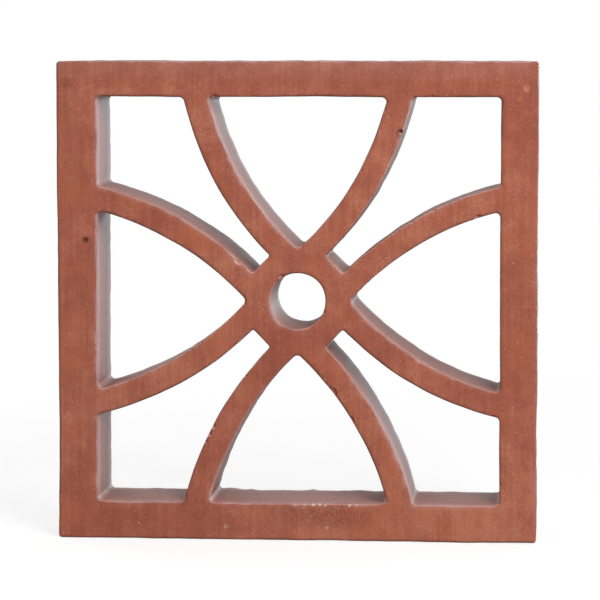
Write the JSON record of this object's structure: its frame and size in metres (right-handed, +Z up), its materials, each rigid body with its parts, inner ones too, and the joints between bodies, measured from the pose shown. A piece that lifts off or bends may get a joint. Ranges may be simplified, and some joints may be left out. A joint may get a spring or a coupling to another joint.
{
  "type": "pierced clay veneer brick",
  "caption": "Square terracotta screen block pierced by curved ribs that meet at a hub with a round through hole.",
  "frame": {"origin": "centre of the block's bottom bed", "axes": "+Z up the block, +Y through its depth from the front face to the back, +X to the right seen from the front"},
  "size_m": [0.3, 0.06, 0.3],
  "materials": {
    "terracotta": "matte"
  },
  "bodies": {
    "root": {"block": "terracotta"}
  },
  "joints": []
}
